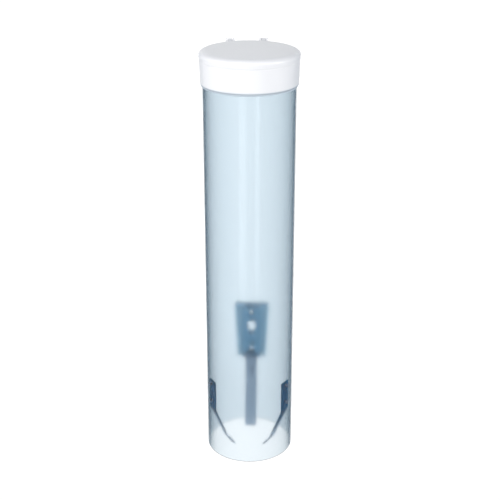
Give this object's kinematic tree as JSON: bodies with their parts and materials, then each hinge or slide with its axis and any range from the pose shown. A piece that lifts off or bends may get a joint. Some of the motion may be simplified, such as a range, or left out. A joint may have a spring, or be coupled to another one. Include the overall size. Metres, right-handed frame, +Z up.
{
  "type": "cup dispenser",
  "caption": "Wall-mounted pull-type paper cup dispenser: frosted tube with sprung holding fingers, hinged flip lid and lift-off wall bracket.",
  "frame": {"origin": "on the wall plate's back face, on its centre line, 92 mm above the tube's bottom rim", "axes": "+Z up along the tube, +Y into the wall, +X to the right as seen from the front"},
  "size_m": [0.0922, 0.1056, 0.4082],
  "materials": {
    "frosted_tube": "frosted translucent pale blue plastic",
    "cap_white": "smooth white moulded plastic",
    "finger_blue": "flexible grey-blue plastic",
    "bracket_blue": "satin grey-blue moulded plastic",
    "rivet_blue": "plain push-in rivet of blue-grey plastic",
    "rivet_metal": "plain domed rivet",
    "pin_steel": "plain pin"
  },
  "bodies": {
    "wall_mount": {"wall_plate": "bracket_blue"},
    "dispenser": {"tube": "frosted_tube", "tube_bracket": "bracket_blue", "bracket_rivet_upper": "rivet_metal", "bracket_rivet_lower": "rivet_metal", "finger_pad_left": "finger_blue", "finger_pad_right": "finger_blue", "finger_pad_rear": "finger_blue", "finger_rivet_left_lower": "rivet_blue", "finger_rivet_left_upper": "rivet_blue", "finger_rivet_right_lower": "rivet_blue", "finger_rivet_right_upper": "rivet_blue", "finger_rivet_rear_lower": "rivet_blue", "finger_rivet_rear_upper": "rivet_blue"},
    "cap": {"cap_collar": "cap_white", "hinge_pin_left": "pin_steel", "hinge_pin_right": "pin_steel"},
    "lid": {"flip_lid": "cap_white"},
    "left_finger": {"finger_blade_left": "finger_blue"},
    "right_finger": {"finger_blade_right": "finger_blue"},
    "rear_finger": {"finger_blade_rear": "finger_blue"}
  },
  "joints": [
    {"name": "dispenser_lift", "type": "slide", "parent": "wall_mount", "child": "dispenser", "axis": [0, 0, 1], "range_m": [0, 0.065]},
    {"name": "cap_pull", "type": "slide", "parent": "dispenser", "child": "cap", "axis": [0, 0, 1], "range_m": [0, 0.03]},
    {"name": "lid_flip", "type": "hinge", "parent": "cap", "child": "lid", "pos_m": [-0.00468, -0.01092, 0.3136], "axis": [-0.9954, -0.0958, 0], "range_deg": [0, 95]},
    {"name": "left_finger_flex", "type": "hinge", "parent": "dispenser", "child": "left_finger", "pos_m": [-0.03545, -0.07835, -0.0437], "axis": [-0.4695, 0.8829, 0], "range_deg": [-5, 16], "stiffness_Nm_per_rad": 0.15},
    {"name": "right_finger_flex", "type": "hinge", "parent": "dispenser", "child": "right_finger", "pos_m": [0.03545, -0.07835, -0.0437], "axis": [-0.4695, -0.8829, 0], "range_deg": [-5, 16], "stiffness_Nm_per_rad": 0.15},
    {"name": "rear_finger_flex", "type": "hinge", "parent": "dispenser", "child": "rear_finger", "pos_m": [0, -0.01935, -0.0417], "axis": [1, 0, 0], "range_deg": [-5, 16], "stiffness_Nm_per_rad": 0.15}
  ]
}
